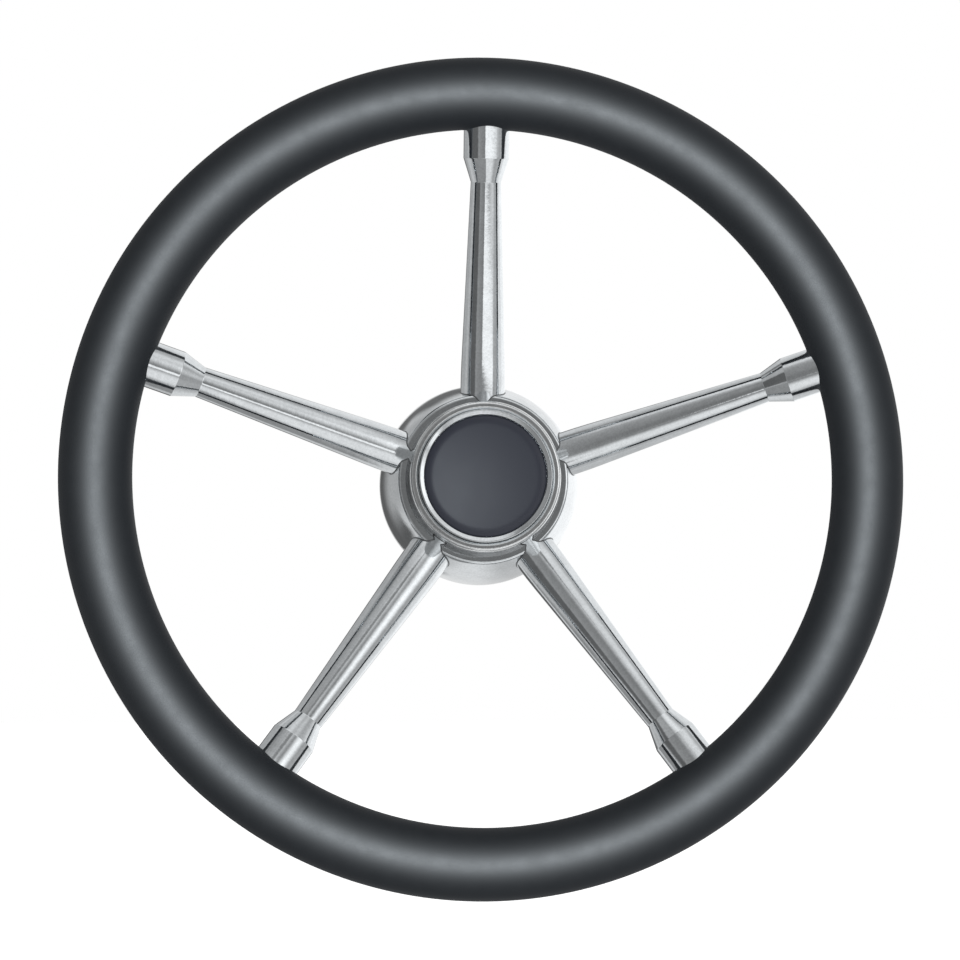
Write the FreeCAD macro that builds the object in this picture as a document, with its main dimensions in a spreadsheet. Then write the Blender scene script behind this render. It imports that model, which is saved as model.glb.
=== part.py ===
import FreeCAD, Part
import os
import Sketcher
from FreeCAD import Placement, Rotation, Vector

# Five-spoke boat steering wheel: stainless spokes and hub, moulded foam rim.
# The wheel turns about the Y axis. The driver looks from -Y, the helm's shaft comes in from +Y, and +Z
# is up. The origin is the mouth of the shaft's taper bore, on the rear face of the hub. A height is a
# distance from that face towards the driver.

# Driving sizes in millimetres
SIZES = {
    # Rim
    "rim_diameter": 343.0,  # 13.5 in over the grip
    "grip_diameter": 29.0,
    "core_diameter": 15.875,  # 5/8 in tube
    "core_wall": 1.5,
    "rim_height": 66.6,  # centre of the rim
    # Spokes
    "spoke_diameter": 19.05,  # 3/4 in tube
    "spoke_wall": 1.5,
    "waist_diameter": 12.7,  # swaged down to 1/2 in
    "rim_stub_length": 25.3,  # full width, from the centre of the rim
    "cone_length": 9.8,
    "root_stub_length": 9.4,  # full width, outside the edge of the hub's shoulder
    "spoke_crest": 0.1452,  # top of the spoke over the outer edge of the groove
    "spoke_set_back": 3.0,  # where its axis meets the rim, behind the rim's centre
    "spoke_corner_round": 0.6,
    # Hub shell, outwards and down from the bezel
    "groove_width": 1.6,
    "groove_depth": 1.0,
    "ledge_width": 4.5,
    "ledge_dip": 0.1,  # from the shoulder to the groove
    "shoulder_height": 39.0,
    "shoulder_round": 1.8,
    "skirt_flare": 8.2,
    "base_round": 0.8,
    "shell_wall": 2.5,
    # Boss on the helm's shaft
    "shaft_diameter": 19.05,  # 3/4 in at the large end of its taper
    "taper_ratio": 12.0,  # 1 in 12 on the diameter
    "boss_diameter": 38.0,
    "boss_bevel": 0.8,
    "nut_seat_height": 32.0,
    "flange_thickness": 4.0,
    "keyway_width": 4.76,  # 3/16 in
    "keyway_depth": 2.4,
    # Back plate
    "plate_inset": 1.5,
    "plate_thickness": 2.5,
    # Bezel
    "bezel_diameter": 62.6,
    "bezel_rise": 17.0,  # above the shoulder
    "bezel_wall": 5.0,
    "bezel_round": 1.5,
    "trim_recess_width": 1.3,
    "trim_recess_depth": 3.2,
    # Trim ring of the cap
    "turned_clearance": 0.1,
    "trim_lip_height": 5.2,  # above the seat in the bezel
    "trim_lip_width": 2.1,
    "trim_lip_slope": 0.8,  # down towards the cap
    "trim_round": 0.4,
    "trim_ledge_height": 2.4,
    "trim_skirt_wall": 3.4,
    "trim_skirt_length": 8.8,
    "o_ring_section": 2.0,
    "o_ring_groove_width": 2.4,
    "o_ring_depth": 4.4,  # centre of the groove below the seat
    # Centre cap
    "cap_clearance": 0.1,
    "cap_edge_thickness": 2.2,
    "cap_dome_rise": 0.6,
    "cap_edge_round": 1.6,
    "cap_skirt_wall": 1.6,
    "snap_bead": 0.7,
    "snap_bead_length": 1.6,
    "snap_slot_width": 3.0,
    "snap_slot_length": 9.0,
}

# Sizes that follow from the driving ones
LAYOUT = {
    # Hub shell, from the bezel out to the base
    "bezel_radius": "=Sizes.bezel_diameter / 2",
    "shoulder_radius": "=bezel_radius + Sizes.ledge_width",
    "base_radius": "=shoulder_radius + Sizes.skirt_flare",
    "groove_radius": "=bezel_radius + Sizes.groove_width",
    "groove_edge": "=Sizes.shoulder_height - Sizes.ledge_dip",
    "groove_floor": "=groove_edge - Sizes.groove_depth",
    "bezel_height": "=Sizes.shoulder_height + Sizes.bezel_rise",
    # The skirt is an arc that stands upright at the base, and the inside is one wall in from it
    "skirt_bulge": "=(Sizes.skirt_flare ^ 2 + Sizes.shoulder_height ^ 2) / (2 * Sizes.skirt_flare)",
    "bulge_centre": "=base_radius - skirt_bulge",
    "inner_bulge": "=skirt_bulge - Sizes.shell_wall",
    "inner_base_radius": "=base_radius - Sizes.shell_wall",
    "inner_top_height": "=groove_floor - Sizes.shell_wall",
    "inner_top_radius": "=bulge_centre + sqrt(inner_bulge ^ 2 - inner_top_height ^ 2)",
    "plate_top": "=Sizes.plate_inset + Sizes.plate_thickness",
    "plate_base_radius": "=bulge_centre + sqrt(inner_bulge ^ 2 - Sizes.plate_inset ^ 2)",
    "plate_top_radius": "=bulge_centre + sqrt(inner_bulge ^ 2 - plate_top ^ 2)",
    # Spokes: the top line of each passes over the groove's edge, and its axis runs into the rim
    "ring_radius": "=(Sizes.rim_diameter - Sizes.grip_diameter) / 2",
    "crest_reach": "=ring_radius - groove_radius",
    "axis_height": "=Sizes.rim_height - Sizes.spoke_set_back",
    "crest_drop": "=axis_height - groove_edge - Sizes.spoke_crest",
    "crest_distance": "=sqrt(crest_reach ^ 2 + crest_drop ^ 2)",
    "dish_angle": "=atan(crest_drop / crest_reach) + asin(Sizes.spoke_diameter / 2 / crest_distance)",
    # The uncut root lies a third of the tube inside the shoulder's edge
    "root_depth": "=Sizes.spoke_diameter / 3",
    "root_radius": "=shoulder_radius - root_depth",
    "root_height": "=axis_height - (ring_radius - root_radius) * tan(dish_angle)",
    "spoke_length": "=(ring_radius - root_radius) / cos(dish_angle)",
    "taper_start": "=root_depth / cos(dish_angle) + Sizes.root_stub_length",
    "cone_end": "=spoke_length - Sizes.rim_stub_length",
    "cone_start": "=cone_end - Sizes.cone_length",
    "socket_start": "=spoke_length - Sizes.grip_diameter",
    # Boss
    "bore_small_radius": "=(Sizes.shaft_diameter - Sizes.nut_seat_height / Sizes.taper_ratio) / 2",
    "flange_back": "=Sizes.nut_seat_height - Sizes.flange_thickness",
    # Trim ring in the bezel
    "bezel_bore_radius": "=bezel_radius - Sizes.bezel_wall",
    "recess_radius": "=bezel_bore_radius + Sizes.trim_recess_width",
    "trim_seat": "=bezel_height - Sizes.trim_recess_depth",
    "trim_radius": "=recess_radius - Sizes.turned_clearance",
    "trim_lip_inner": "=trim_radius - Sizes.trim_lip_width",
    "trim_skirt_radius": "=bezel_bore_radius - Sizes.turned_clearance",
    "trim_bore_radius": "=trim_skirt_radius - Sizes.trim_skirt_wall",
    "trim_bottom": "=trim_seat - Sizes.trim_skirt_length",
    "trim_top": "=trim_seat + Sizes.trim_lip_height",
    "trim_inner_top": "=trim_top - Sizes.trim_lip_slope",
    "groove_floor_radius": "=bezel_bore_radius - Sizes.o_ring_section",
    "groove_middle": "=trim_seat - Sizes.o_ring_depth",
    "groove_low": "=groove_middle - Sizes.o_ring_groove_width / 2",
    "groove_high": "=groove_middle + Sizes.o_ring_groove_width / 2",
    # Centre cap in the trim ring
    "cap_seat": "=trim_seat + Sizes.trim_ledge_height",
    "cap_edge": "=cap_seat + Sizes.cap_edge_thickness",
    "cap_top": "=cap_edge + Sizes.cap_dome_rise",
    "cap_radius": "=trim_lip_inner - Sizes.cap_clearance",
    "cap_dome_radius": "=(cap_radius ^ 2 + Sizes.cap_dome_rise ^ 2) / (2 * Sizes.cap_dome_rise)",
    "cap_skirt_radius": "=trim_bore_radius - Sizes.cap_clearance",
    "cap_skirt_inner": "=cap_skirt_radius - Sizes.cap_skirt_wall",
    "bead_radius": "=cap_skirt_radius + Sizes.snap_bead",
    "bead_top": "=trim_bottom - Sizes.cap_clearance",
    "bead_corner": "=bead_top - Sizes.snap_bead",
    "cap_bottom": "=bead_top - Sizes.snap_bead_length",
    "slot_inner": "=cap_skirt_inner - Sizes.cap_skirt_wall",
    "slot_outer": "=bead_radius + Sizes.cap_skirt_wall",
}

# Angle of each spoke about the shaft, clockwise from the top as the driver sees it
SPOKES = {
    "spoke_top": 0,
    "spoke_upper_right": 72,
    "spoke_lower_right": 144,
    "spoke_lower_left": 216,
    "spoke_upper_left": 288,
}
SNAP_SLOTS = 6

# Turns a sketch of the XY plane so that its vertical axis runs towards the driver
TOWARDS_DRIVER = Placement(Vector(0, 0, 0), Rotation(Vector(1, 0, 0), 180))
SHAFT_TURN = Rotation(Vector(1, 0, 0), 90)

doc = FreeCAD.newDocument("steering_wheel")


def write_sheet(name, cells):
    sheet = doc.addObject("Spreadsheet::Sheet", name)
    for row, (alias, content) in enumerate(cells.items(), start=1):
        sheet.set(f"A{row}", alias)
        sheet.set(f"B{row}", str(content))
        sheet.setAlias(f"B{row}", alias)
    doc.recompute()
    return sheet


sizes = write_sheet("Sizes", SIZES)
write_sheet("Layout", LAYOUT)


def value(expression):
    return float(sizes.evalExpression(expression))


# Sketches and features that the pieces share


def new_body(name):
    body = doc.addObject("PartDesign::Body", name)
    body.Label = name
    return body


def origin_item(body, role):
    return next(item for item in body.Origin.OriginFeatures if item.Role == role)


def new_sketch(body, name, plane, offset=Placement()):
    sketch = body.newObject("Sketcher::SketchObject", name)
    sketch.AttachmentSupport = [(origin_item(body, plane), "")]
    sketch.MapMode = "FlatFace"
    sketch.AttachmentOffset = offset
    return sketch


def pin_point(sketch, geometry, point, across, up):
    """Hold a point of the sketch at two expressions, counted from the sketch's origin."""
    for kind, axis, expression in (("DistanceX", -2, across), ("DistanceY", -1, up)):
        if expression == "0":
            sketch.addConstraint(Sketcher.Constraint("PointOnObject", geometry, point, axis))
            continue
        distance = Sketcher.Constraint(kind, -1, 1, geometry, point, value(expression))
        number = sketch.addConstraint(distance)
        sketch.setExpression(f"Constraints[{number}]", expression)


def bulged_line(start, end, radius):
    """An arc from start to end that bulges to the right of that direction."""
    chord = end - start
    bulge = radius - (radius**2 - chord.Length**2 / 4) ** 0.5
    side = Vector(chord.y, -chord.x, 0).normalize()
    return Part.Arc(start, (start + end) / 2 + side * bulge, end)


def draw_outline(sketch, corners, arcs=None):
    """Draw a closed outline. arcs gives the radius of each side that is curved, by its number."""
    arcs = arcs or {}
    points = [Vector(value(across), value(up), 0) for across, up in corners]
    for side, start in enumerate(points):
        end = points[(side + 1) % len(points)]
        if side in arcs:
            sketch.addGeometry(bulged_line(start, end, value(arcs[side])))
        else:
            sketch.addGeometry(Part.LineSegment(start, end))
    for side, (across, up) in enumerate(corners):
        following = (side + 1) % len(corners)
        sketch.addConstraint(Sketcher.Constraint("Coincident", side, 2, following, 1))
        pin_point(sketch, side, 1, across, up)
    for side, radius in arcs.items():
        number = sketch.addConstraint(Sketcher.Constraint("Radius", side, value(radius)))
        sketch.setExpression(f"Constraints[{number}]", radius)


def draw_circle(sketch, across, up, radius):
    centre = Vector(value(across), value(up), 0)
    circle = Part.Circle(centre, Vector(0, 0, 1), value(radius))
    number = sketch.addGeometry(circle)
    pin_point(sketch, number, 3, across, up)
    held = sketch.addConstraint(Sketcher.Constraint("Radius", number, value(radius)))
    sketch.setExpression(f"Constraints[{held}]", radius)


def revolve(body, sketch, kind="PartDesign::Revolution", axis="V_Axis"):
    feature = body.newObject(kind, f"{sketch.Name}_turned")
    feature.Profile = sketch
    feature.ReferenceAxis = (sketch, [axis])
    feature.Angle = 360
    body.Tip = feature
    doc.recompute()
    return feature


def turned_body(name, corners, arcs=None):
    """A body turned about the shaft from corners that are a radius and a height."""
    body = new_body(name)
    sketch = new_sketch(body, f"{name}_section", "XY_Plane", TOWARDS_DRIVER)
    draw_outline(sketch, corners, arcs)
    revolve(body, sketch)
    return body


def circle_edges(shape, rings, along):
    """Names of the round edges that have these radii at these places along the axis."""
    names = []
    for radius, place in rings:
        for number, edge in enumerate(shape.Edges, start=1):
            if edge.Degenerated or not isinstance(edge.Curve, Part.Circle):
                continue
            off = abs(edge.Curve.Radius - value(radius)) + abs(edge.Curve.Center.dot(along) - value(place))
            if off < 0.001:
                names.append(f"Edge{number}")
    return names


def ease_edges(body, kind, size_name, size, rings, along):
    base = body.Tip
    names = circle_edges(base.Shape, rings, along)
    if len(names) != len(rings):
        raise RuntimeError(f"{body.Label} has {len(names)} of its {len(rings)} edges to ease")
    feature = body.newObject(kind, f"{body.Name}_eased")
    feature.Base = (base, names)
    feature.setExpression(size_name, size)
    body.Tip = feature
    doc.recompute()


def round_edges(body, radius, rings, along=Vector(0, -1, 0)):
    ease_edges(body, "PartDesign::Fillet", "Radius", radius, rings, along)


def bevel_edges(body, width, rings, along=Vector(0, -1, 0)):
    ease_edges(body, "PartDesign::Chamfer", "Size", width, rings, along)


def repeat_round_shaft(body, feature, count):
    pattern = body.newObject("PartDesign::PolarPattern", f"{feature.Name}_pattern")
    pattern.Originals = [feature]
    pattern.Axis = (origin_item(body, "Y_Axis"), [""])
    pattern.Angle = 360
    pattern.Occurrences = count
    body.Tip = pattern
    doc.recompute()


def cut(name, base, tool):
    result = doc.addObject("Part::Cut", name)
    result.Label = name
    result.Base = base
    result.Tool = tool
    return result


# Hub: the outside is pressed in one form, which the spokes are coped to and the shell is hollowed from
hub_form = turned_body(
    "hub_form",
    [
        ("0", "0"),
        ("Layout.base_radius", "0"),
        ("Layout.shoulder_radius", "Sizes.shoulder_height"),
        ("Layout.groove_radius", "Layout.groove_edge"),
        ("Layout.bezel_radius", "Layout.groove_floor"),
        ("Layout.bezel_radius", "Layout.bezel_height"),
        ("0", "Layout.bezel_height"),
    ],
    arcs={1: "Layout.skirt_bulge"},
)
round_edges(hub_form, "Sizes.shoulder_round", [("Layout.shoulder_radius", "Sizes.shoulder_height")])
round_edges(hub_form, "Sizes.base_round", [("Layout.base_radius", "0")])

hub_hollow = turned_body(
    "hub_hollow",
    [
        ("0", "0"),
        ("Layout.inner_base_radius", "0"),
        ("Layout.inner_top_radius", "Layout.inner_top_height"),
        ("Layout.bezel_radius", "Layout.inner_top_height"),
        ("Layout.bezel_radius", "Layout.bezel_height"),
        ("0", "Layout.bezel_height"),
    ],
    arcs={1: "Layout.inner_bulge"},
)
hub_shell = cut("hub_shell", hub_form, hub_hollow)

# Boss with the shaft's taper bore, its keyway and the flange that the bezel stands on
hub_boss = turned_body(
    "hub_boss",
    [
        ("Sizes.shaft_diameter / 2", "0"),
        ("Sizes.boss_diameter / 2", "0"),
        ("Sizes.boss_diameter / 2", "Layout.flange_back"),
        ("Layout.bezel_radius", "Layout.flange_back"),
        ("Layout.bezel_radius", "Sizes.nut_seat_height"),
        ("Layout.bore_small_radius", "Sizes.nut_seat_height"),
    ],
)
bevel_edges(hub_boss, "Sizes.boss_bevel", [("Sizes.boss_diameter / 2", "0")])
keyway_sketch = new_sketch(hub_boss, "keyway_section", "XZ_Plane")
keyway_reach = "Sizes.shaft_diameter / 2 + Sizes.keyway_depth"
keyway_side = "Sizes.keyway_width / 2"
draw_outline(
    keyway_sketch,
    [
        (f"-{keyway_side}", "0"),
        (keyway_side, "0"),
        (keyway_side, keyway_reach),
        (f"-{keyway_side}", keyway_reach),
    ],
)
keyway = hub_boss.newObject("PartDesign::Pocket", "keyway")
keyway.Profile = keyway_sketch
keyway.Reversed = True
keyway.setExpression("Length", "Sizes.nut_seat_height")
hub_boss.Tip = keyway

# Plate that closes the back of the skirt round the boss
hub_back_plate = turned_body(
    "hub_back_plate",
    [
        ("Sizes.boss_diameter / 2", "Sizes.plate_inset"),
        ("Layout.plate_base_radius", "Sizes.plate_inset"),
        ("Layout.plate_top_radius", "Layout.plate_top"),
        ("Sizes.boss_diameter / 2", "Layout.plate_top"),
    ],
    arcs={1: "Layout.inner_bulge"},
)

# Bezel: stands on the boss's flange, through the ledge of the shell, and holds the cap
hub_bezel = turned_body(
    "hub_bezel",
    [
        ("Layout.bezel_bore_radius", "Sizes.nut_seat_height"),
        ("Layout.bezel_radius", "Sizes.nut_seat_height"),
        ("Layout.bezel_radius", "Layout.bezel_height"),
        ("Layout.recess_radius", "Layout.bezel_height"),
        ("Layout.recess_radius", "Layout.trim_seat"),
        ("Layout.bezel_bore_radius", "Layout.trim_seat"),
    ],
)
round_edges(
    hub_bezel,
    "Sizes.bezel_round",
    [
        ("Layout.bezel_radius", "Layout.bezel_height"),
        ("Layout.recess_radius", "Layout.bezel_height"),
    ],
)

# Trim ring: the bright lip that slopes in to the cap, and a groove for the ring that grips the bezel
cap_trim_ring = turned_body(
    "cap_trim_ring",
    [
        ("Layout.trim_bore_radius", "Layout.trim_bottom"),
        ("Layout.trim_skirt_radius", "Layout.trim_bottom"),
        ("Layout.trim_skirt_radius", "Layout.groove_low"),
        ("Layout.groove_floor_radius", "Layout.groove_low"),
        ("Layout.groove_floor_radius", "Layout.groove_high"),
        ("Layout.trim_skirt_radius", "Layout.groove_high"),
        ("Layout.trim_skirt_radius", "Layout.trim_seat"),
        ("Layout.trim_radius", "Layout.trim_seat"),
        ("Layout.trim_radius", "Layout.trim_top"),
        ("Layout.trim_lip_inner", "Layout.trim_inner_top"),
        ("Layout.trim_lip_inner", "Layout.cap_seat"),
        ("Layout.trim_bore_radius", "Layout.cap_seat"),
    ],
)
round_edges(
    cap_trim_ring,
    "Sizes.trim_round",
    [
        ("Layout.trim_radius", "Layout.trim_top"),
        ("Layout.trim_lip_inner", "Layout.trim_inner_top"),
    ],
)

cap_o_ring = doc.addObject("Part::Torus", "cap_o_ring")
cap_o_ring.Label = "cap_o_ring"
cap_o_ring.setExpression("Radius1", "Layout.bezel_bore_radius - Sizes.o_ring_section / 2")
cap_o_ring.setExpression("Radius2", "Sizes.o_ring_section / 2")
cap_o_ring.Placement = Placement(Vector(0, 0, 0), SHAFT_TURN)
cap_o_ring.setExpression("Placement.Base.y", "-Layout.groove_middle")

# Centre cap: a slightly domed disc on a slotted skirt that snaps under the trim ring
centre_cap = turned_body(
    "centre_cap",
    [
        ("0", "Layout.cap_seat"),
        ("Layout.cap_skirt_inner", "Layout.cap_seat"),
        ("Layout.cap_skirt_inner", "Layout.cap_bottom"),
        ("Layout.cap_skirt_radius", "Layout.cap_bottom"),
        ("Layout.bead_radius", "Layout.bead_corner"),
        ("Layout.bead_radius", "Layout.bead_top"),
        ("Layout.cap_skirt_radius", "Layout.bead_top"),
        ("Layout.cap_skirt_radius", "Layout.cap_seat"),
        ("Layout.cap_radius", "Layout.cap_seat"),
        ("Layout.cap_radius", "Layout.cap_edge"),
        ("0", "Layout.cap_top"),
    ],
    arcs={9: "Layout.cap_dome_radius"},
)
round_edges(centre_cap, "Sizes.cap_edge_round", [("Layout.cap_radius", "Layout.cap_edge")])
slot_sketch = new_sketch(centre_cap, "snap_slot_section", "XZ_Plane")
slot_sketch.setExpression("AttachmentOffset.Base.z", "Layout.cap_bottom")
slot_side = "Sizes.snap_slot_width / 2"
draw_outline(
    slot_sketch,
    [
        (f"-{slot_side}", "Layout.slot_inner"),
        (slot_side, "Layout.slot_inner"),
        (slot_side, "Layout.slot_outer"),
        (f"-{slot_side}", "Layout.slot_outer"),
    ],
)
snap_slot = centre_cap.newObject("PartDesign::Pocket", "snap_slot")
snap_slot.Profile = slot_sketch
snap_slot.Reversed = True
snap_slot.setExpression("Length", "Sizes.snap_slot_length")
centre_cap.Tip = snap_slot
doc.recompute()
repeat_round_shaft(centre_cap, snap_slot, SNAP_SLOTS)

# Core ring of the rim, and the same ring filled, which the spokes are coped to
rim_core_ring = new_body("rim_core_ring")
core_sketch = new_sketch(rim_core_ring, "core_section", "XY_Plane", TOWARDS_DRIVER)
draw_circle(core_sketch, "Layout.ring_radius", "Sizes.rim_height", "Sizes.core_diameter / 2")
core_bore = "Sizes.core_diameter / 2 - Sizes.core_wall"
draw_circle(core_sketch, "Layout.ring_radius", "Sizes.rim_height", core_bore)
revolve(rim_core_ring, core_sketch)

core_form = doc.addObject("Part::Torus", "core_form")
core_form.setExpression("Radius1", "Layout.ring_radius")
core_form.setExpression("Radius2", "Sizes.core_diameter / 2")
core_form.Placement = Placement(Vector(0, 0, 0), SHAFT_TURN)
core_form.setExpression("Placement.Base.y", "-Sizes.rim_height")

# Spoke: a swaged tube drawn from its root in the hub to the circle through the rim's centre
spoke_tube = new_body("spoke_tube")
spoke_sketch = new_sketch(spoke_tube, "spoke_section", "XZ_Plane")
outer_radius = "Sizes.spoke_diameter / 2"
waist_radius = "Sizes.waist_diameter / 2"
inner_radius = "Sizes.spoke_diameter / 2 - Sizes.spoke_wall"
waist_inner = "Sizes.waist_diameter / 2 - Sizes.spoke_wall"
draw_outline(
    spoke_sketch,
    [
        (inner_radius, "0"),
        (outer_radius, "0"),
        (outer_radius, "Layout.taper_start"),
        (waist_radius, "Layout.cone_start"),
        (outer_radius, "Layout.cone_end"),
        (outer_radius, "Layout.spoke_length"),
        (inner_radius, "Layout.spoke_length"),
        (inner_radius, "Layout.cone_end"),
        (waist_inner, "Layout.cone_start"),
        (inner_radius, "Layout.taper_start"),
    ],
)
revolve(spoke_tube, spoke_sketch)
round_edges(
    spoke_tube,
    "Sizes.spoke_corner_round",
    [(waist_radius, "Layout.cone_start"), (outer_radius, "Layout.cone_end")],
    along=Vector(0, 0, 1),
)
spoke_tube.Placement = Placement(Vector(0, 0, 0), Rotation(Vector(1, 0, 0), value("Layout.dish_angle")))
spoke_tube.setExpression("Placement.Rotation.Angle", "Layout.dish_angle")
spoke_tube.setExpression("Placement.Base.y", "-Layout.root_height")
spoke_tube.setExpression("Placement.Base.z", "Layout.root_radius")

# The root is coped to the hub and the other end to the core ring, and the spoke is repeated five times
spoke_root = cut("spoke_root", spoke_tube, hub_form)
spokes = []
for name, turn in SPOKES.items():
    spoke = cut(name, spoke_root, core_form)
    spoke.Placement = Placement(Vector(0, 0, 0), Rotation(Vector(0, 1, 0), turn))
    spokes.append(spoke)

# Grip: foam moulded round the core ring and the outer ends of the spokes
rim_grip = new_body("rim_grip")
grip_sketch = new_sketch(rim_grip, "grip_section", "XY_Plane", TOWARDS_DRIVER)
draw_circle(grip_sketch, "Layout.ring_radius", "Sizes.rim_height", "Sizes.grip_diameter / 2")
draw_circle(grip_sketch, "Layout.ring_radius", "Sizes.rim_height", "Sizes.core_diameter / 2")
revolve(rim_grip, grip_sketch)
socket_turn = Rotation(Vector(0, 0, 1), 90 + value("Layout.dish_angle"))
socket_sketch = new_sketch(rim_grip, "spoke_socket", "YZ_Plane", Placement(Vector(0, 0, 0), socket_turn))
socket_sketch.setExpression("AttachmentOffset.Rotation.Angle", "90 deg + Layout.dish_angle")
socket_sketch.setExpression("AttachmentOffset.Base.x", "-Layout.root_height")
socket_sketch.setExpression("AttachmentOffset.Base.y", "Layout.root_radius")
draw_outline(
    socket_sketch,
    [
        ("Layout.socket_start", "0"),
        ("Layout.spoke_length", "0"),
        ("Layout.spoke_length", outer_radius),
        ("Layout.socket_start", outer_radius),
    ],
)
socket = revolve(rim_grip, socket_sketch, kind="PartDesign::Groove", axis="H_Axis")
repeat_round_shaft(rim_grip, socket, len(SPOKES))

doc.recompute()
for item in doc.Objects:
    if "Invalid" in item.State or "Error" in item.State:
        raise RuntimeError(f"{item.Label} failed: {item.State}")

pieces = [
    rim_grip,
    rim_core_ring,
    *spokes,
    hub_shell,
    hub_bezel,
    hub_boss,
    hub_back_plate,
    cap_trim_ring,
    cap_o_ring,
    centre_cap,
]
os.makedirs("parts", exist_ok=True)
for piece in pieces:
    shape = piece.Shape
    if shape.isNull() or not shape.isValid() or len(shape.Solids) != 1:
        raise RuntimeError(f"{piece.Label} isn't one valid solid")
for piece in pieces:
    piece.Shape.exportStep(f"parts/{piece.Label}.step")
    print(f"{piece.Label}: {piece.Shape.Volume:.0f} mm3")
print(f"dish angle {value('Layout.dish_angle'):.2f}, spoke length {value('Layout.spoke_length'):.2f}")
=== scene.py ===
import math

import bmesh
import bpy
from mathutils import Matrix, Vector


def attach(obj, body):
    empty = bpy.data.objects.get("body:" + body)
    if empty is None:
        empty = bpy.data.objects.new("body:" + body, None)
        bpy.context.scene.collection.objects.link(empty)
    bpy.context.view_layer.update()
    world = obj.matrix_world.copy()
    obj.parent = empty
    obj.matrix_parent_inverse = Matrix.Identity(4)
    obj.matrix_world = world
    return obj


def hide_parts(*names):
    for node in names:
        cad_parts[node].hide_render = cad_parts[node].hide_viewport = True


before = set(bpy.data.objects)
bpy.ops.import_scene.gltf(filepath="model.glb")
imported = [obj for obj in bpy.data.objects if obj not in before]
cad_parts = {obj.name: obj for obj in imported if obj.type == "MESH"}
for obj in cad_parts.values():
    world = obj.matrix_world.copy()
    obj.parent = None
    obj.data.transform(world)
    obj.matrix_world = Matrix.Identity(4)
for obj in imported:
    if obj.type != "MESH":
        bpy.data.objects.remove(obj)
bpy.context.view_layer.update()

# View: the wheel is seen almost head-on, from a little below and to the left of its shaft.
# Towards the driver is -Y, +Z is up and +X is to the driver's right. Sizes are in millimetres up to
# the point where a mesh is made, and a height is a distance from the hub's rear face to the driver.

MM = 0.001
CAMERA_PLACE = Vector((-40.5, -785.8, -58.8)) * MM
AIM_PLACE = Vector((11.3, -66.6, -12.6)) * MM
SENSOR_WIDTH = 36.0
LENS = 66.7
FRAME_SHIFT = (-0.0365, 0.026)  # the photograph is trimmed round the rim


def add_object(name, data):
    """A new object in the scene that has this data."""
    made = bpy.data.objects.new(name, data)
    bpy.context.scene.collection.objects.link(made)
    return made


def aim(obj, place, target):
    """Put the object there, looking along its -Z axis at the target."""
    obj.location = place
    obj.rotation_mode = "QUATERNION"
    obj.rotation_quaternion = (target - place).to_track_quat("-Z", "Y")


camera = add_object("camera", bpy.data.cameras.new("camera"))
camera.data.sensor_width = SENSOR_WIDTH
camera.data.lens = LENS
camera.data.shift_x, camera.data.shift_y = FRAME_SHIFT
aim(camera, CAMERA_PLACE, AIM_PLACE)
bpy.context.scene.camera = camera
bpy.context.scene.view_settings.view_transform = "Standard"


# Studio: white behind the wheel, a dim room behind the camera, and the soft boxes and flags that the
# polished steel mirrors. They are all in the world, and the camera itself sees plain white.

ROOM_LEVELS = {0.0: 0.17, 0.04: 0.27, 0.35: 0.46, 0.55: 0.51, 0.75: 0.71, 0.92: 0.68}  # front to back
# Azimuth (0 towards the camera, 90 to the right), elevation, half width, half height, softness and level
CARDS = {
    "soft box at the right": (43, 9, 14.5, 15.5, 12, 1.3),
    "white table below the camera": (-22, -54, 45, 20, 12, 0.91),
    "pale ceiling at the right": (18, 41, 23.5, 13, 12, 0.85),
    "dark flag at the left": (-68, -1, 22, 21.5, 3.5, 0.13),
    "stand of the flag": (-85, 5, 6, 27, 2.5, 0.3),
    "bright side at the right": (127, 16.5, 45, 46, 12, 0.92),
    "backdrop at the right": (156, -5, 45, 21.5, 4, 1.12),
    "bench behind": (188, -37, 27, 32, 2.5, 0.58),
    "paper on the bench": (-176.5, -37, 9.5, 48, 6, 0.8),
    "dark door behind at the left": (-155.5, -1.5, 16, 23.5, 3, 0.12),
    "frame over the door": (-171.5, 25, 10.5, 9.5, 5.5, 0.16),
    "dim floor at the left": (-83, -56, 40.5, 25, 2.5, 0.31),
    "beam at the upper left": (-79, 59.5, 27, 9, 6, 0.05),
    "ceiling lamp at the left": (-22, 64, 18, 12.5, 12, 0.98),
    "low strip at the right": (21.5, -17, 29, 4.5, 2.5, 1.14),
    "shade over the camera": (-11, 34.5, 13, 4, 2.5, 0.27),
    "grey wall at the left": (-130, 17, 22.5, 28, 9, 0.45),
}
LEAST_AHEAD = 0.001  # for rays that point away from a card


def node(tree, kind, inputs=None, **settings):
    """A new node with these settings. inputs gives each socket a value or another node's output."""
    made = tree.nodes.new(kind)
    for name, setting in settings.items():
        setattr(made, name, setting)
    for socket, given in (inputs or {}).items():
        if isinstance(given, bpy.types.NodeSocket):
            tree.links.new(given, made.inputs[socket])
        else:
            made.inputs[socket].default_value = given
    return made


def calculate(tree, operation, *terms):
    """The outcome of one step of arithmetic."""
    return node(tree, "ShaderNodeMath", dict(enumerate(terms)), operation=operation).outputs[0]


def dot(tree, vector, fixed):
    """How far the vector goes along a fixed direction."""
    made = node(tree, "ShaderNodeVectorMath", {0: vector, 1: fixed}, operation="DOT_PRODUCT")
    return made.outputs["Value"]


def ramp(tree, value, start, end, low=0.0, high=1.0, eased=False):
    """Value from start to end, brought to the range from low to high, with eased ends if asked."""
    inputs = {"Value": value, "From Min": start, "From Max": end, "To Min": low, "To Max": high}
    kind = "SMOOTHSTEP" if eased else "LINEAR"
    return node(tree, "ShaderNodeMapRange", inputs, interpolation_type=kind).outputs["Result"]


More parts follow.
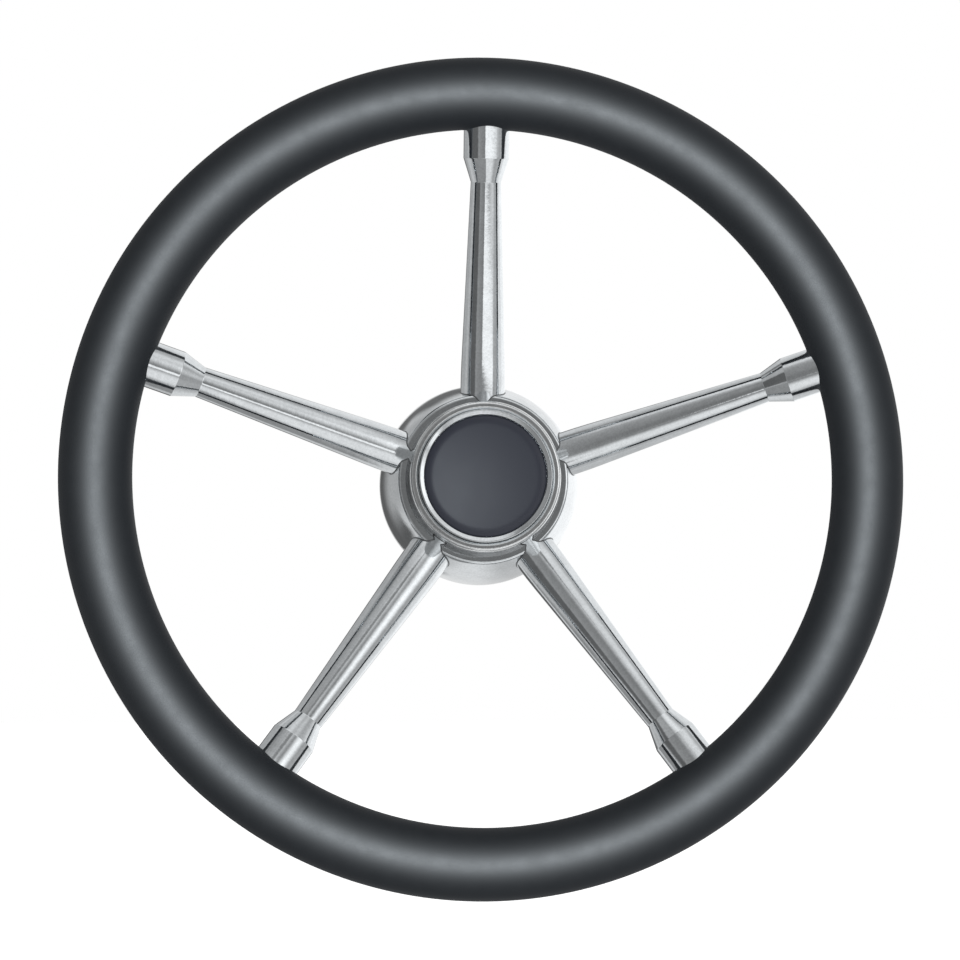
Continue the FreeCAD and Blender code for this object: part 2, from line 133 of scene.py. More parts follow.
def add_card(tree, ray, below, azimuth, elevation, half_width, half_height, soft, level):
    """A rectangle of one brightness laid over the brightness below it."""
    turn, rise = math.radians(azimuth), math.radians(elevation)
    out = Vector((math.sin(turn) * math.cos(rise), -math.cos(turn) * math.cos(rise), math.sin(rise)))
    right = out.cross(Vector((0, 0, 1))).normalized()
    ahead = calculate(tree, "MAXIMUM", dot(tree, ray, out), LEAST_AHEAD)
    mask = 1.0
    for axis, half in ((right, half_width), (right.cross(out), half_height)):
        off = calculate(tree, "ABSOLUTE", calculate(tree, "DIVIDE", dot(tree, ray, axis), ahead))
        outside, inside = (math.tan(math.radians(half + side)) for side in (soft, -soft))
        mask = calculate(tree, "MULTIPLY", mask, ramp(tree, off, outside, inside, eased=True))
    return node(tree, "ShaderNodeMix", {"Factor": mask, "A": below, "B": level}).outputs["Result"]


world = bpy.data.worlds.new("studio")
bpy.context.scene.world = world
world.use_nodes = True
studio = world.node_tree
studio.nodes.clear()
ray = node(studio, "ShaderNodeTexCoord").outputs["Generated"]
room = node(studio, "ShaderNodeValToRGB", {"Fac": ramp(studio, dot(studio, ray, (0, 1, 0)), -1, 1)})
stops = room.color_ramp.elements
while len(stops) < len(ROOM_LEVELS):
    stops.new(0.5)  # moved to its place below
for stop, (place, level) in zip(stops, ROOM_LEVELS.items()):
    stop.position = place
    stop.color = (level, level, level, 1)
brightness = room.outputs["Color"]
for card in CARDS.values():
    brightness = add_card(studio, ray, brightness, *card)
camera_ray = node(studio, "ShaderNodeLightPath").outputs["Is Camera Ray"]
seen = node(studio, "ShaderNodeMix", {"Factor": camera_ray, "A": brightness, "B": 1.0})
sky = node(studio, "ShaderNodeBackground", {"Color": seen.outputs["Result"]})
node(studio, "ShaderNodeOutputWorld", {"Surface": sky.outputs["Background"]})


# Floor: plain, pale and matt, well below the wheel, which hangs on its helm and throws a faint shadow
# on it. The steel mirrors the studio where the floor would be.

FLOOR_HEIGHT = -450.0
FLOOR_SIZE = 12000.0
FLOOR_GLOW = 0.6  # brings the floor up to the white of the picture


def new_material(name, **settings):
    """A material whose shader has these constant values, its node tree and the shader."""
    material = bpy.data.materials.new(name)
    material.use_nodes = True
    shader = material.node_tree.nodes["Principled BSDF"]
    for socket, setting in settings.items():
        shader.inputs[socket.replace("_", " ")].default_value = setting
    return material, material.node_tree, shader


floor_shape = bmesh.new()
place = Matrix.Translation((0, 0, FLOOR_HEIGHT * MM))
bmesh.ops.create_grid(floor_shape, x_segments=1, y_segments=1, size=FLOOR_SIZE / 2 * MM, matrix=place)
floor_mesh = bpy.data.meshes.new("floor")
floor_shape.to_mesh(floor_mesh)
floor = add_object("floor", floor_mesh)
pale, _, _ = new_material(
    "pale_floor",
    Base_Color=(0.9, 0.9, 0.9, 1),
    Roughness=1.0,
    Emission_Color=(1, 1, 1, 1),
    Emission_Strength=FLOOR_GLOW,
)
floor_mesh.materials.append(pale)
floor.visible_glossy = False


# Hub boss and back plate: turned stainless steel, welded into the back of the hub. The boss has the
# shaft's taper bore and keyway. Both are the solids of the frame with fine rings from the lathe, and
# the core ring, hidden in the grip, has the same finish.

RING_PITCH = 0.35
RING_DEPTH = 0.012
TURNED_ROUGHNESS = (0.24, 0.4)
MASK_SPREAD = (0.3, 0.7)  # the range that an uneven mask mostly keeps to
NOISE_DETAIL = 3.0
NOISE_ROUGHNESS = 0.55


def finish_group():
    """Uneven finish of a surface: one coarse and one fine noise, mixed, and the mean of both is 0.5."""
    group = bpy.data.node_groups.new("uneven_finish", "ShaderNodeTree")
    for name, kind, value in (
        ("Vector", "NodeSocketVector", None),
        ("Coarse Size", "NodeSocketFloat", 10.0),
        ("Fine Size", "NodeSocketFloat", 1.0),
        ("Fine Share", "NodeSocketFloat", 0.5),
    ):
        socket = group.interface.new_socket(name, in_out="INPUT", socket_type=kind)
        if value is not None:
            socket.default_value = value
    group.interface.new_socket("Mask", in_out="OUTPUT", socket_type="NodeSocketFloat")
    given = node(group, "NodeGroupInput").outputs
    coats = []
    for size in ("Coarse Size", "Fine Size"):
        scale = calculate(group, "DIVIDE", 1 / MM, given[size])
        inputs = {
            "Vector": given["Vector"],
            "Scale": scale,
            "Detail": NOISE_DETAIL,
            "Roughness": NOISE_ROUGHNESS,
        }
        coats.append(node(group, "ShaderNodeTexNoise", inputs).outputs["Fac"])
    mixed = node(group, "ShaderNodeMix", {"Factor": given["Fine Share"], "A": coats[0], "B": coats[1]})
    node(group, "NodeGroupOutput", {"Mask": mixed.outputs["Result"]})
    return group


uneven = finish_group()


def uneven_mask(tree, vector, coarse, fine, share):
    """The uneven finish with noises of these sizes in millimetres and this share of the fine one."""
    inputs = {"Vector": vector, "Coarse Size": coarse, "Fine Size": fine, "Fine Share": share}
    return node(tree, "ShaderNodeGroup", inputs, node_tree=uneven).outputs["Mask"]


def set_finish(tree, shader, roughness, height, bump):
    """Roughness and a bump of this depth in millimetres, from two nodes' outputs."""
    tree.links.new(roughness, shader.inputs["Roughness"])
    lifted = node(tree, "ShaderNodeBump", {"Height": height, "Distance": bump * MM, "Strength": 1.0})
    tree.links.new(lifted.outputs["Normal"], shader.inputs["Normal"])


turned_steel, tree, shader = new_material("turned_steel", Base_Color=(0.46, 0.46, 0.45, 1), Metallic=1.0)
here = node(tree, "ShaderNodeTexCoord").outputs["Object"]
apart = node(tree, "ShaderNodeSeparateXYZ", {0: here}).outputs
squares = [calculate(tree, "MULTIPLY", apart[axis], apart[axis]) for axis in (0, 2)]
radius = calculate(tree, "SQRT", calculate(tree, "ADD", *squares))
feed = calculate(tree, "ADD", radius, apart[1])
rings = calculate(tree, "SINE", calculate(tree, "MULTIPLY", feed, 2 * math.pi / (RING_PITCH * MM)))
patches = uneven_mask(tree, here, coarse=9.0, fine=0.6, share=0.4)
roughness = ramp(tree, patches, *MASK_SPREAD, *TURNED_ROUGHNESS)
set_finish(tree, shader, roughness, height=ramp(tree, rings, -1, 1), bump=RING_DEPTH)
for name in ("hub_boss", "hub_back_plate", "rim_core_ring"):
    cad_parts[name].data.materials[0] = turned_steel


# Hub shell: pressed from 2.5 mm stainless sheet, with a bulged skirt, a rounded shoulder and a ledge
# that ends in a groove at the bezel. It is polished all over, and the groove is given rougher, darker
# steel, whose darkness is painted shade in the crevice. The back plate closes it behind.

BASE_RADIUS = 44.0
SHOULDER_RADIUS = 35.8
SHOULDER_HEIGHT = 39.0
SHOULDER_ROUND = 1.8
LEDGE_DIP = 0.1  # how much lower the ledge is at the groove
GROOVE_WIDTH = 1.6
GROOVE_DEPTH = 1.0
BASE_ROUND = 0.8
SHELL_WALL = 2.5
BEZEL_RADIUS = 31.3
BEZEL_HEIGHT = 56.0
SKIRT_STEPS = 14
HUB_SEGMENTS = 256
ARC_STEP = math.radians(8)
SHARP_ANGLE = math.radians(30)
SUPPORT = 0.25  # a ring this near each corner keeps the flats beside it flat
ON_AXIS = SUPPORT / 100  # a point this near the axis is taken to be on it
TOWARDS_DRIVER = Matrix.Rotation(math.pi / 2, 4, "X")


def rounded(corners):
    """Points of a closed outline from corners that are a radius, a height and a rounding.

    A corner whose rounding is None is a point of a curve, and the sides that meet there stay bent.
    """
    arcs = []
    bent = [rounding is None for _, _, rounding in corners]
    for number, (radius, height, rounding) in enumerate(corners):
        corner = Vector((radius, height))
        back = (Vector(corners[number - 1][:2]) - corner).normalized()
        ahead = (Vector(corners[(number + 1) % len(corners)][:2]) - corner).normalized()
        half = back.angle(ahead) / 2
        if not rounding:
            arcs.append([corner])
            continue
        centre = corner + (back + ahead).normalized() * (rounding / math.sin(half))
        arm = corner + back * (rounding / math.tan(half)) - centre
        turn = math.pi - 2 * half
        if back.cross(ahead) > 0:
            turn = -turn
        steps = max(2, math.ceil(abs(turn) / ARC_STEP))
        arcs.append([centre + Matrix.Rotation(turn * step / steps, 2) @ arm for step in range(steps + 1)])
    points = []
    for number, arc in enumerate(arcs):
        after = (number + 1) % len(arcs)
        points += arc
        straight = arcs[after][0] - arc[-1]
        # A short side needs no support
        if straight.length > 4 * SUPPORT:
            inset = straight.normalized() * SUPPORT
            if not bent[number]:
                points.append(arc[-1] + inset)
            if not bent[after]:
                points.append(arcs[after][0] - inset)
    return points


def turned_mesh(name, outlines, segments, place=TOWARDS_DRIVER):
    """Turn closed outlines about an axis. Going round one to the left leaves its inside solid."""
    mesh = bpy.data.meshes.new(name)
    shape = bmesh.new()
    turns = [2 * math.pi * number / segments for number in range(segments)]
    for outline in outlines:
        rings = []
        for radius, height in outline:
            if radius < ON_AXIS:
                rings.append([shape.verts.new((0, 0, height * MM))] * segments)
            else:
                across = [(math.cos(turn) * radius * MM, math.sin(turn) * radius * MM) for turn in turns]
                rings.append([shape.verts.new((x, y, height * MM)) for x, y in across])
        for ring, following in zip(rings, rings[1:] + rings[:1]):
            for number in range(segments):
                after = (number + 1) % segments
                corners = [ring[number], ring[after], following[after], following[number]]
                # A face that touches the axis has three corners, and one along it is left out
                corners = list(dict.fromkeys(corners))
                if len(corners) > 2:
                    shape.faces.new(corners)
    shape.transform(place)
    shape.to_mesh(mesh)
    shape.free()
    return mesh


def smooth(mesh):
    """Shade the mesh smooth, but not across edges that turn by more than the sharp angle."""
    mesh.shade_smooth()
    mesh.set_sharp_from_angle(angle=SHARP_ANGLE)


GRAIN_SHARES = (0.9, 1.07)  # how dark and how light the grain makes the steel
GRAIN_SPREAD = (0.38, 0.62)  # the ranges of the masks that the grain and the haze run through
HAZE_SPREAD = (0.35, 0.7)


def mix_colours(tree, factor, first, second):
    """Two colours mixed. A Mix node's sockets for colours are the inputs 6 and 7 and the output 2."""
    return node(tree, "ShaderNodeMix", {0: factor, 6: first, 7: second}, data_type="RGBA").outputs[2]


def steel(name, colour, roughness, fine_share, bump):
    """Stainless steel with a fine grain, a haze of this range of roughness and slight waves."""
    material, tree, shader = new_material(name, Metallic=1.0)
    here = node(tree, "ShaderNodeTexCoord").outputs["Object"]
    haze = uneven_mask(tree, here, coarse=12.0, fine=0.25, share=0.5)
    grain = uneven_mask(tree, here, coarse=7.0, fine=0.9, share=0.6)
    smudged, clean = ([part * share for part in colour] + [1] for share in GRAIN_SHARES)
    tint = mix_colours(tree, ramp(tree, grain, *GRAIN_SPREAD), smudged, clean)
    tree.links.new(tint, shader.inputs["Base Color"])
    waves = uneven_mask(tree, here, coarse=16.0, fine=1.5, share=fine_share)
    set_finish(tree, shader, ramp(tree, haze, *HAZE_SPREAD, *roughness), waves, bump)
    return material


polished_steel = steel(
    "polished_steel", colour=(0.755, 0.785, 0.805), roughness=(0.04, 0.13), fine_share=0.3, bump=0.06
)
# Dark steel for the weld seams: painted shade in the creases where the spokes meet the hub
dull_steel = steel(
    "dull_steel", colour=(0.2, 0.205, 0.21), roughness=(0.35, 0.5), fine_share=0.5, bump=0.02
)
# Rougher, darker steel for the shell's groove: its darkness is painted shade in the crevice
unpolished_steel = steel(
    "unpolished_steel", colour=(0.53, 0.54, 0.55), roughness=(0.3, 0.4), fine_share=0.5, bump=0.02
)

# The skirt is an arc that stands upright at the base
flare = BASE_RADIUS - SHOULDER_RADIUS
bulge = (flare**2 + SHOULDER_HEIGHT**2) / (2 * flare)
groove_edge = SHOULDER_HEIGHT - LEDGE_DIP
groove_floor = groove_edge - GROOVE_DEPTH
inner_top = groove_floor - SHELL_WALL


def skirt_arc(radius, top):
    """Points between the ends of the skirt's arc of this radius, from the base up to the top."""
    heights = [top * step / SKIRT_STEPS for step in range(1, SKIRT_STEPS)]
    return [(BASE_RADIUS - bulge + math.sqrt(radius**2 - height**2), height, None) for height in heights]


outer_corners = [
    (BASE_RADIUS, 0, BASE_ROUND),
    *skirt_arc(bulge, SHOULDER_HEIGHT),
    (SHOULDER_RADIUS, SHOULDER_HEIGHT, SHOULDER_ROUND),
    (BEZEL_RADIUS + GROOVE_WIDTH, groove_edge, 0),
    (BEZEL_RADIUS, groove_floor, 0),
]
inner_corners = [
    (BASE_RADIUS - SHELL_WALL, 0, 0),
    *skirt_arc(bulge - SHELL_WALL, inner_top),
    (BASE_RADIUS - bulge + math.sqrt((bulge - SHELL_WALL) ** 2 - inner_top**2), inner_top, 0),
    (BEZEL_RADIUS, inner_top, 0),
]
shell_outline = rounded(outer_corners + inner_corners[::-1])
hub_shell = add_object("hub_shell_pressing", turned_mesh("hub_shell", [shell_outline], HUB_SEGMENTS))
smooth(hub_shell.data)
hub_shell.data.materials.append(polished_steel)
hub_shell.data.materials.append(unpolished_steel)

# The groove gets the rougher, darker steel: painted shade in the crevice
for face in hub_shell.data.polygons:
    across, along, up = face.center / MM
    if math.hypot(across, up) < BEZEL_RADIUS + GROOVE_WIDTH and -along > groove_floor:
        face.material_index = 1
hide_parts("hub_shell")
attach(hub_shell, "root")


# Spokes: five 3/4 in stainless tubes, swaged to a narrow waist, coped to the hub at the root and to the
# core ring inside the grip, and polished. They run into the rim a little behind its centre.

RIM_HEIGHT = 66.6
RING_RADIUS = 157.0
SPOKES = 5
SPOKE_RADIUS = 9.525
SPOKE_WALL = 1.5
WAIST_RADIUS = 6.35
SPOKE_CREST = 0.85  # height of the spoke's top line over the shoulder
SPOKE_SET_BACK = 3.0  # of the spoke's end behind the rim's centre
RIM_STUB = 25.3  # of plain tube at the rim
CONE_LENGTH = 9.8
ROOT_STUB = 9.4  # of plain tube at the hub
CORNER_ROUND = 0.6
TAPER_ROUND = 300.0  # the taper starts without an edge
CORE_RADIUS = 7.9375
SPOKE_SEGMENTS = 96
RING_SEGMENTS = 256
CORE_FORM_SIDES = 48

crest_reach = RING_RADIUS - SHOULDER_RADIUS
axis_height = RIM_HEIGHT - SPOKE_SET_BACK
crest_drop = axis_height - SHOULDER_HEIGHT - SPOKE_CREST
dish = math.atan(crest_drop / crest_reach) + math.asin(SPOKE_RADIUS / math.hypot(crest_drop, crest_reach))
root_depth = SPOKE_RADIUS * 2 / 3  # how far inside the shoulder the tube starts
root_radius = SHOULDER_RADIUS - root_depth
root_height = axis_height - (RING_RADIUS - root_radius) * math.tan(dish)
spoke_length = (RING_RADIUS - root_radius) / math.cos(dish)
taper_start = root_depth / math.cos(dish) + ROOT_STUB
cone_end = spoke_length - RIM_STUB
cone_start = cone_end - CONE_LENGTH
root_place = Matrix.Translation(Vector((0, -root_height, root_radius)) * MM)
spoke_place = root_place @ Matrix.Rotation(dish, 4, "X")


def geometry_tree(name, sockets):
    """A node tree for a modifier with these inputs besides the geometry, and its input and output."""
    tree = bpy.data.node_groups.new(name, "GeometryNodeTree")
    tree.interface.new_socket("Geometry", in_out="INPUT", socket_type="NodeSocketGeometry")
    for socket, kind in sockets.items():
        tree.interface.new_socket(socket, in_out="INPUT", socket_type=f"NodeSocket{kind}")
    tree.interface.new_socket("Geometry", in_out="OUTPUT", socket_type="NodeSocketGeometry")
    return tree, node(tree, "NodeGroupInput").outputs


def round_the_shaft(tree, geometry, count):
    """Copies of the geometry, evenly spaced about the Y axis."""
    points = node(tree, "GeometryNodePoints", {"Count": count}).outputs[0]
    number = node(tree, "GeometryNodeInputIndex").outputs[0]
    turn = calculate(tree, "MULTIPLY", number, calculate(tree, "DIVIDE", math.tau, count))
    turned = node(tree, "ShaderNodeCombineXYZ", {"Y": turn}).outputs[0]
    inputs = {"Points": points, "Instance": geometry, "Rotation": turned}
    placed = node(tree, "GeometryNodeInstanceOnPoints", inputs).outputs[0]
    return node(tree, "GeometryNodeRealizeInstances", {0: placed}).outputs[0]


def subtract(tree, solid, *tools):
    """The solid without what the tools take up."""
    made = node(tree, "GeometryNodeMeshBoolean", {"Mesh 1": solid}, operation="DIFFERENCE", solver="EXACT")
    for tool in tools:
        tree.links.new(tool, made.inputs["Mesh 2"])
    return made.outputs["Mesh"]


def object_mesh(tree, socket):
    """The mesh of the object that is put into this socket."""
    return node(tree, "GeometryNodeObjectInfo", {"Object": socket}).outputs["Geometry"]


def end_tree(tree, geometry, material):
    """Give the geometry this material and put it out."""
    painted = node(tree, "GeometryNodeSetMaterial", {"Geometry": geometry, "Material": material}).outputs[0]
    node(tree, "NodeGroupOutput", {0: painted})


def bake(obj, tree, given):
    """Run the tree on the object with these inputs, and keep the result as its plain mesh."""
    modifier = obj.modifiers.new(tree.name, "NODES")
    modifier.node_group = tree
    for item in tree.interface.items_tree:
        if item.in_out == "INPUT" and item.name in given:
            modifier[item.identifier] = given[item.name]
    result = obj.evaluated_get(bpy.context.evaluated_depsgraph_get())
    mesh = bpy.data.meshes.new_from_object(result)
    obj.modifiers.clear()
    obj.data = mesh
    mesh.name = obj.name
    smooth(mesh)


def ring_outline(radius, count):
    """Points round a section of the rim, of this radius about the rim's centre line."""
    steps = [2 * math.pi * number / count for number in range(count)]
    return [(RING_RADIUS + math.cos(step) * radius, RIM_HEIGHT + math.sin(step) * radius) for step in steps]


# What the tubes are coped to: the whole outside of the hub, and the core ring
hub_corners = [(0, 0, 0), *outer_corners, (BEZEL_RADIUS, BEZEL_HEIGHT, 0), (0, BEZEL_HEIGHT, 0)]
hub_form = add_object("hub_form", turned_mesh("hub_form", [rounded(hub_corners)], HUB_SEGMENTS))
core_outline = ring_outline(CORE_RADIUS, CORE_FORM_SIDES)
core_form = add_object("core_form", turned_mesh("core_form", [core_outline], RING_SEGMENTS))
spoke_outline = rounded(
    [
        (SPOKE_RADIUS - SPOKE_WALL, 0, 0),
        (SPOKE_RADIUS, 0, 0),
        (SPOKE_RADIUS, taper_start, TAPER_ROUND),
        (WAIST_RADIUS, cone_start, CORNER_ROUND),
        (SPOKE_RADIUS, cone_end, CORNER_ROUND),
        (SPOKE_RADIUS, spoke_length, 0),
        (SPOKE_RADIUS - SPOKE_WALL, spoke_length, 0),
        (SPOKE_RADIUS - SPOKE_WALL, cone_end, 0),
        (WAIST_RADIUS - SPOKE_WALL, cone_start, 0),
        (SPOKE_RADIUS - SPOKE_WALL, taper_start, 0),
    ]
)
spokes = add_object("swaged_spokes", turned_mesh("spokes", [spoke_outline], SPOKE_SEGMENTS, spoke_place))
tree, given = geometry_tree(
    "coped_spokes", {"Hub Form": "Object", "Core Form": "Object", "Spokes": "Int", "Steel": "Material"}
)
forms = [object_mesh(tree, given[form]) for form in ("Hub Form", "Core Form")]
coped = subtract(tree, given["Geometry"], *forms)
end_tree(tree, round_the_shaft(tree, coped, given["Spokes"]), given["Steel"])
inputs = {"Hub Form": hub_form, "Core Form": core_form, "Spokes": SPOKES, "Steel": polished_steel}
bake(spokes, tree, inputs)
spoke_nodes = [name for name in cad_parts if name.startswith("spoke_")]
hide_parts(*spoke_nodes)
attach(spokes, "root")


# Weld seams: where each spoke meets the hub, dressed to a fine line in the crease, and given dark steel
# as painted shade in the crease. It runs over the skirt, the shoulder and the ledge to the bezel, and back.

BEAD_RADIUS = 0.3
SEAM_STEPS = 24  # points looked at on each side of the hub's outline
BEAD_SIDES = 8
WALL_STEP = 0.05  # from point to point up the side of the bezel
WALL_STEPS = 40
HALVINGS = 40


def spoke_gap(radius, height, turn):
    """Distance of a point of the hub, at this angle from the spoke, from the spoke's surface."""
    across = radius * math.sin(turn)
    out = radius * math.cos(turn) - root_radius
    off = (height - root_height) * math.cos(dish) - out * math.sin(dish)
    return math.hypot(across, off) - SPOKE_RADIUS


def seam_turn(radius, height):
    """Angle at which the hub's circle of this radius and height meets the spoke's surface."""
    low, high = 0.0, math.pi / SPOKES
    if spoke_gap(radius, height, low) > 0:
        return None
    for _ in range(HALVINGS):
        middle = (low + high) / 2
        low, high = (middle, high) if spoke_gap(radius, height, middle) < 0 else (low, middle)
    return low


def seam_side():
    """Points up one side of the seam, from under the spoke to the top of it on the bezel."""
    outside = shell_outline[: shell_outline.index(Vector((BEZEL_RADIUS, groove_floor))) + 1]
    wall = [Vector((BEZEL_RADIUS, groove_floor + step * WALL_STEP)) for step in range(1, WALL_STEPS)]
    profile = []
    for start, end in zip(outside, outside[1:]):
        profile += [start.lerp(end, step / SEAM_STEPS) for step in range(SEAM_STEPS)]
    side = []
    for radius, height in profile + wall:
        turn = seam_turn(radius, height)
        if turn is not None:
            side.append(Vector((radius * math.sin(turn), -height, radius * math.cos(turn))))
    return side


seam = seam_side()
spaced = [seam[0]]
for point in seam[1:]:
    if (point - spaced[-1]).length > BEAD_RADIUS:
        spaced.append(point)
loop = spaced + [Vector((-point.x, point.y, point.z)) for point in reversed(spaced)]
seam_mesh = bpy.data.meshes.new("weld_seams")
edges = [(number, (number + 1) % len(loop)) for number in range(len(loop))]
seam_mesh.from_pydata([point * MM for point in loop], edges, [])
welds = add_object("weld_seams", seam_mesh)
tree, given = geometry_tree(
    "seam_beads", {"Bead": "Float", "Sides": "Int", "Spokes": "Int", "Steel": "Material"}
)
path = node(tree, "GeometryNodeMeshToCurve", {"Mesh": given["Geometry"]}).outputs[0]
inputs = {"Resolution": given["Sides"], "Radius": given["Bead"]}
section = node(tree, "GeometryNodeCurvePrimitiveCircle", inputs).outputs[0]
bead = node(tree, "GeometryNodeCurveToMesh", {"Curve": path, "Profile Curve": section}).outputs[0]
end_tree(tree, round_the_shaft(tree, bead, given["Spokes"]), given["Steel"])
# The seams' dark steel is painted shade in the crease
bake(welds, tree, {"Bead": BEAD_RADIUS * MM, "Sides": BEAD_SIDES, "Spokes": SPOKES, "Steel": dull_steel})
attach(welds, "root")


# Grip: black polyurethane foam with a satin skin, moulded in one piece round the core ring and the
# outer ends of the spokes.

GRIP_RADIUS = 14.5
GRIP_SIDES = 80
CORE_SIDES = 40
SOCKET_SIDES = 64


def moulded(name, sizes, share, roughness, bump, **settings):
    """Moulded rubber or plastic, whose roughness and slight bumps follow one uneven mask."""
    material, tree, shader = new_material(name, **settings)
    here = node(tree, "ShaderNodeTexCoord").outputs["Object"]
    mask = uneven_mask(tree, here, *sizes, share)
    set_finish(tree, shader, ramp(tree, mask, *MASK_SPREAD, *roughness), mask, bump)
    return material


foam = moulded(
    "foam_skin",
    sizes=(6.0, 0.35),
    share=0.6,
    roughness=(0.56, 0.64),
    bump=0.015,
    Base_Color=(0.003, 0.0055, 0.0095, 1),
    Specular_IOR_Level=0.15,
)

grip_outline = ring_outline(GRIP_RADIUS, GRIP_SIDES)
bore_outline = ring_outline(CORE_RADIUS, CORE_SIDES)[::-1]
grip = add_object("foam_grip", turned_mesh("grip", [grip_outline, bore_outline], RING_SEGMENTS))
socket_outline = [
    (0, spoke_length - 2 * GRIP_RADIUS),
    (SPOKE_RADIUS, spoke_length - 2 * GRIP_RADIUS),
    (SPOKE_RADIUS, spoke_length),
    (0, spoke_length),
]
socket = add_object("socket_form", turned_mesh("socket", [socket_outline], SOCKET_SIDES, spoke_place))
cut_round_shaft, given = geometry_tree(
    "cut_round_shaft", {"Tool": "Object", "Count": "Int", "Material": "Material"}
)
tools = round_the_shaft(cut_round_shaft, object_mesh(cut_round_shaft, given["Tool"]), given["Count"])
end_tree(cut_round_shaft, subtract(cut_round_shaft, given["Geometry"], tools), given["Material"])
bake(grip, cut_round_shaft, {"Tool": socket, "Count": SPOKES, "Material": foam})
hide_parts("rim_grip")
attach(grip, "root")


# Bezel: a stainless ring turned from bar, that stands on the boss's flange through the ledge of the
# shell and takes the cap. It is polished, but less finely than the shell.

BEZEL_BORE = 26.3
RECESS_RADIUS = 27.6
TRIM_SEAT = 52.8
BEZEL_ROUND = 1.5
BEZEL_FOOT = 32.0

bezel_outline = rounded(
    [
        (BEZEL_BORE, BEZEL_FOOT, 0),
        (BEZEL_RADIUS, BEZEL_FOOT, 0),
        (BEZEL_RADIUS, BEZEL_HEIGHT, BEZEL_ROUND),
        (RECESS_RADIUS, BEZEL_HEIGHT, BEZEL_ROUND),
        (RECESS_RADIUS, TRIM_SEAT, 0),
        (BEZEL_BORE, TRIM_SEAT, 0),
    ]
)
bezel = add_object("bezel_ring", turned_mesh("bezel", [bezel_outline], HUB_SEGMENTS))
smooth(bezel.data)
satin_steel = steel(
    "satin_steel", colour=(0.84, 0.86, 0.87), roughness=(0.16, 0.24), fine_share=0.2, bump=0.06
)
bezel.data.materials.append(satin_steel)
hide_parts("hub_bezel")
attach(bezel, "root")


# Trim ring and its seal: the bright lip that slopes in to the cap, on a skirt whose groove holds a plain
# rubber ring. The rubber grips the bezel's bore and holds the cap in.

TRIM_RADIUS = 27.5
LIP_INNER = 25.4
TRIM_TOP = 58.0
LIP_SLOPE = 0.8  # down towards the cap
TRIM_ROUND = 0.4
TRIM_SKIRT = 26.2
TRIM_BORE = 22.8
TRIM_BOTTOM = 44.0
CAP_SEAT = 55.2
SEAL_GROOVE_FLOOR = 24.3
SEAL_GROOVE_LOW = 47.2
SEAL_GROOVE_HIGH = 49.6

trim_outline = rounded(
    [
        (TRIM_BORE, TRIM_BOTTOM, 0),
        (TRIM_SKIRT, TRIM_BOTTOM, 0),
        (TRIM_SKIRT, SEAL_GROOVE_LOW, 0),
        (SEAL_GROOVE_FLOOR, SEAL_GROOVE_LOW, 0),
        (SEAL_GROOVE_FLOOR, SEAL_GROOVE_HIGH, 0),
        (TRIM_SKIRT, SEAL_GROOVE_HIGH, 0),
        (TRIM_SKIRT, TRIM_SEAT, 0),
        (TRIM_RADIUS, TRIM_SEAT, 0),
        (TRIM_RADIUS, TRIM_TOP, TRIM_ROUND),
        (LIP_INNER, TRIM_TOP - LIP_SLOPE, TRIM_ROUND),
        (LIP_INNER, CAP_SEAT, 0),
        (TRIM_BORE, CAP_SEAT, 0),
    ]
)
trim = add_object("trim_ring", turned_mesh("trim_ring", [trim_outline], HUB_SEGMENTS))
smooth(trim.data)
trim.data.materials.append(polished_steel)
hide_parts("cap_trim_ring")
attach(trim, "root")

rubber = moulded(
    "seal_rubber",
    sizes=(5.0, 0.5),
    share=0.4,
    roughness=(0.5, 0.7),
    bump=0.01,
    Base_Color=(0.02, 0.02, 0.02, 1),
)
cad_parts["cap_o_ring"].data.materials[0] = rubber


# Centre cap: a plain dark grey disc of satin plastic with a soft edge, moulded with a slotted skirt
# that snaps under the trim ring.

CAP_RADIUS = 25.3
CAP_TOP = 58.0
DOME_RISE = 0.6
EDGE_WIDTH = 4.0
EDGE_DROP = 1.3
DOME_STEPS = 24
EDGE_STEPS = 12
CAP_SKIRT = 22.7
CAP_SKIRT_INNER = 21.1
SNAP_BEAD = 0.7
SNAP_BEAD_TOP = 43.9
CAP_BOTTOM = 42.3
SNAP_SLOTS = 6
SLOT_WIDTH = 3.0
SLOT_LENGTH = 9.0

plastic = moulded(
    "cap_plastic",
    sizes=(8.0, 0.2),
    share=0.7,
    roughness=(0.28, 0.34),
    bump=0.004,
    Base_Color=(0.031, 0.034, 0.047, 1),
    Specular_IOR_Level=0.3,
)


def cap_height(radius):
    """The dome, which rolls off in a quarter of an ellipse at the edge."""
    edge = max(0.0, (radius - CAP_RADIUS + EDGE_WIDTH) / EDGE_WIDTH)
    return CAP_TOP - DOME_RISE * (radius / CAP_RADIUS) ** 2 - EDGE_DROP * (1 - math.sqrt(1 - edge**2))


flat = CAP_RADIUS - EDGE_WIDTH
dome_radii = [flat * step / DOME_STEPS for step in range(DOME_STEPS)]
edge_turns = [math.pi / 2 * step / EDGE_STEPS for step in range(EDGE_STEPS + 1)]
edge_radii = [flat + EDGE_WIDTH * math.sin(turn) for turn in edge_turns]
dome = [(radius, cap_height(radius)) for radius in reversed(dome_radii + edge_radii)]
skirt = [
    (0, CAP_SEAT),
    (CAP_SKIRT_INNER, CAP_SEAT),
    (CAP_SKIRT_INNER, CAP_BOTTOM),
    (CAP_SKIRT, CAP_BOTTOM),
    (CAP_SKIRT + SNAP_BEAD, SNAP_BEAD_TOP - SNAP_BEAD),
    (CAP_SKIRT + SNAP_BEAD, SNAP_BEAD_TOP),
    (CAP_SKIRT, SNAP_BEAD_TOP),
    (CAP_SKIRT, CAP_SEAT),
    (CAP_RADIUS, CAP_SEAT),
]
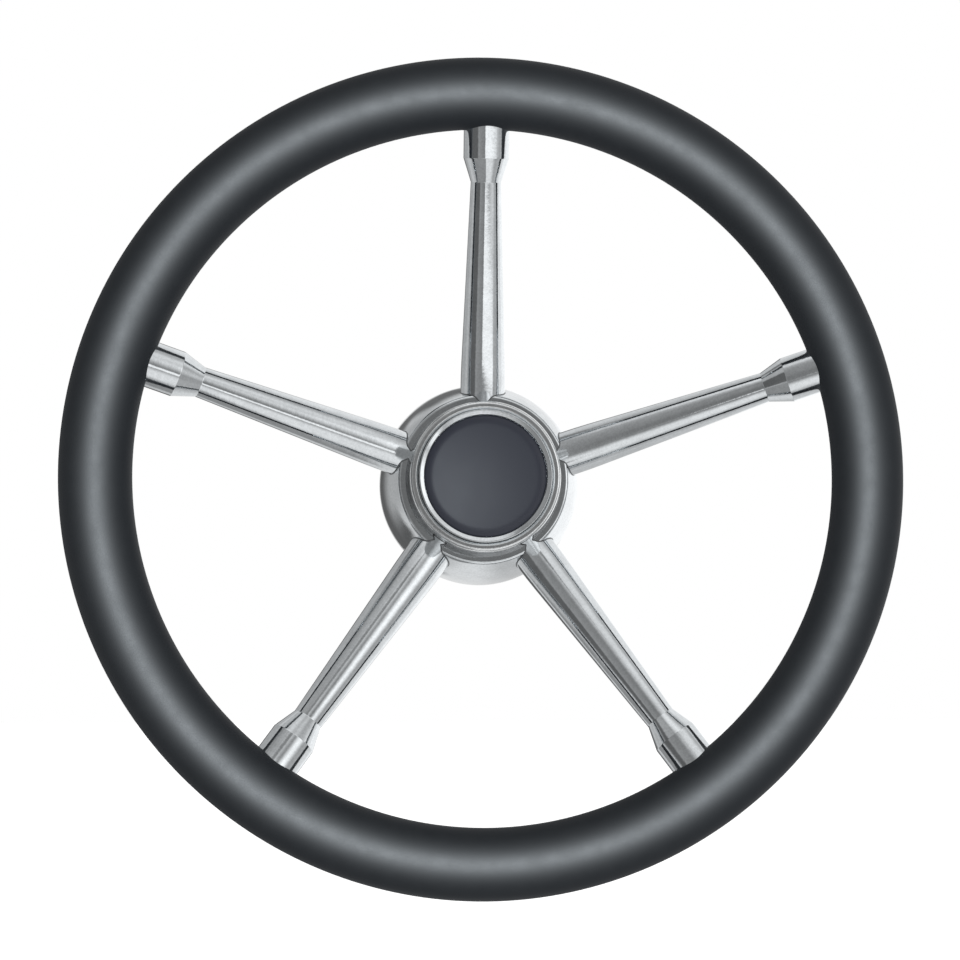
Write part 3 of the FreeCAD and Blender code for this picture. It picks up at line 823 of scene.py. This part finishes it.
cap = add_object("cap_disc", turned_mesh("cap", [skirt + dome], HUB_SEGMENTS))
slot_shape = bmesh.new()
slot_place = Vector((0, -CAP_BOTTOM, CAP_SKIRT)) * MM
slot_depth = 3 * (CAP_SKIRT - CAP_SKIRT_INNER)  # right through the skirt
slot_scale = Matrix.Diagonal((SLOT_WIDTH * MM, 2 * SLOT_LENGTH * MM, slot_depth * MM, 1))
bmesh.ops.create_cube(slot_shape, size=1, matrix=Matrix.Translation(slot_place) @ slot_scale)
slot_mesh = bpy.data.meshes.new("slot")
slot_shape.to_mesh(slot_mesh)
slot_tool = add_object("slot_form", slot_mesh)
bake(cap, cut_round_shaft, {"Tool": slot_tool, "Count": SNAP_SLOTS, "Material": plastic})
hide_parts("centre_cap")
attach(cap, "root")

# Everything is cut by now
for tool in (hub_form, core_form, socket, slot_tool):
    bpy.data.objects.remove(tool)


# Frontal lamps: two round soft boxes behind the camera. One lights the foam grip alone and the other
# the cap alone, for their sheen, and neither lights the steel.

LAMP_SIZE = 260.0
GRIP_LAMP_PLACE = Vector((-36, -1100, -60)) * MM
GRIP_LAMP_WATTS = 118.0
CAP_LAMP_PLACE = Vector((-60, -1000, 20)) * MM
CAP_LAMP_WATTS = 1.6
LAMP_COLOUR = (0.88, 0.95, 1.0)


def add_lamp(name, place, watts, lit):
    """A round soft box that lights only this object."""
    lamp = add_object(name, bpy.data.lights.new(name, "AREA"))
    lamp.data.shape = "DISK"
    lamp.data.size = LAMP_SIZE * MM
    lamp.data.energy = watts
    lamp.data.color = LAMP_COLOUR
    aim(lamp, place, Vector((0, -RIM_HEIGHT * MM, 0)))
    receivers = bpy.data.collections.new(f"lit_by_{name}")
    receivers.objects.link(lit)
    lamp.light_linking.receiver_collection = receivers
    return lamp


grip_lamp = add_lamp("grip_lamp", GRIP_LAMP_PLACE, GRIP_LAMP_WATTS, grip)
grip_lamp.visible_diffuse = False  # sheen alone
add_lamp("cap_lamp", CAP_LAMP_PLACE, CAP_LAMP_WATTS, cap)
